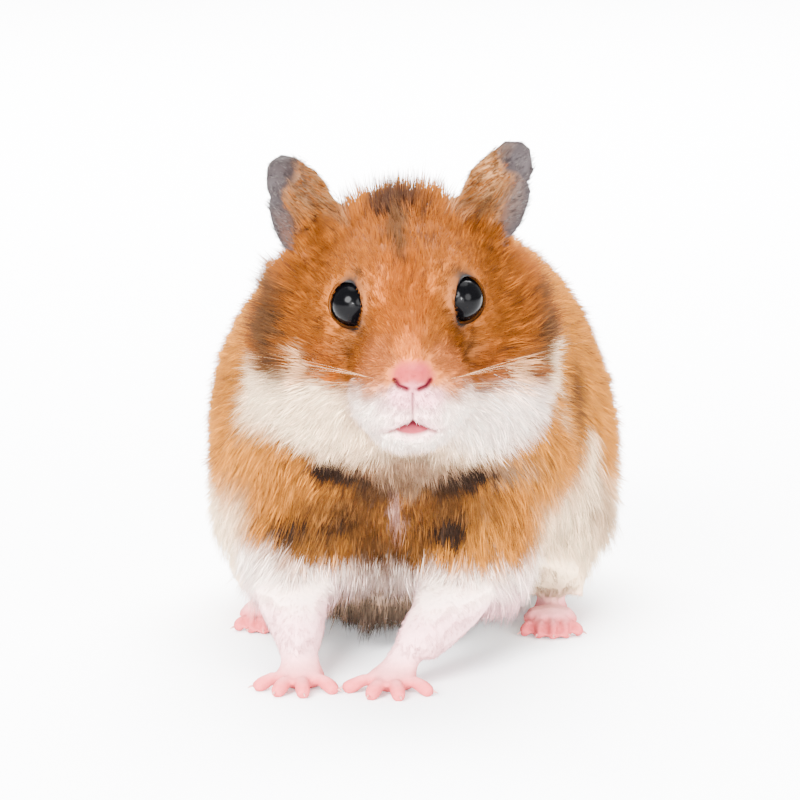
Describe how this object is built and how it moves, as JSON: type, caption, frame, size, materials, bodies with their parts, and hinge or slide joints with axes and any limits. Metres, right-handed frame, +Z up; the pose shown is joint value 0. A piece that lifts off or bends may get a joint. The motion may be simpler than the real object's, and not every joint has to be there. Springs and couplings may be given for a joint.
{
  "type": "syrian hamster",
  "caption": "Life-size still Syrian hamster in a low crouch with its head and ears raised, facing -Y.",
  "frame": {"origin": "on the floor, under the middle of the animal's bounding box", "axes": "+Z up from the floor, -Y the way the animal faces, +X to its left"},
  "size_m": [0.0632, 0.1112, 0.0739],
  "materials": {
    "coat": "soft dense fur, golden over cream with dark brown marks",
    "bare_skin": "bare pink skin",
    "ear_skin": "thin grey skin with fine down",
    "eye": "wet glossy black",
    "claw": "pale horn",
    "whisker": "fine pale hair"
  },
  "bodies": {
    "root": {"head": "coat", "trunk": "coat", "foreleg_left": "coat", "foreleg_right": "coat", "hindleg_left": "coat", "hindleg_right": "coat", "nose": "bare_skin", "forepaw_left": "bare_skin", "forepaw_right": "bare_skin", "hindpaw_left": "bare_skin", "hindpaw_right": "bare_skin", "tail": "bare_skin", "ear_left": "ear_skin", "ear_right": "ear_skin", "eye_left": "eye", "eye_right": "eye"}
  },
  "joints": []
}
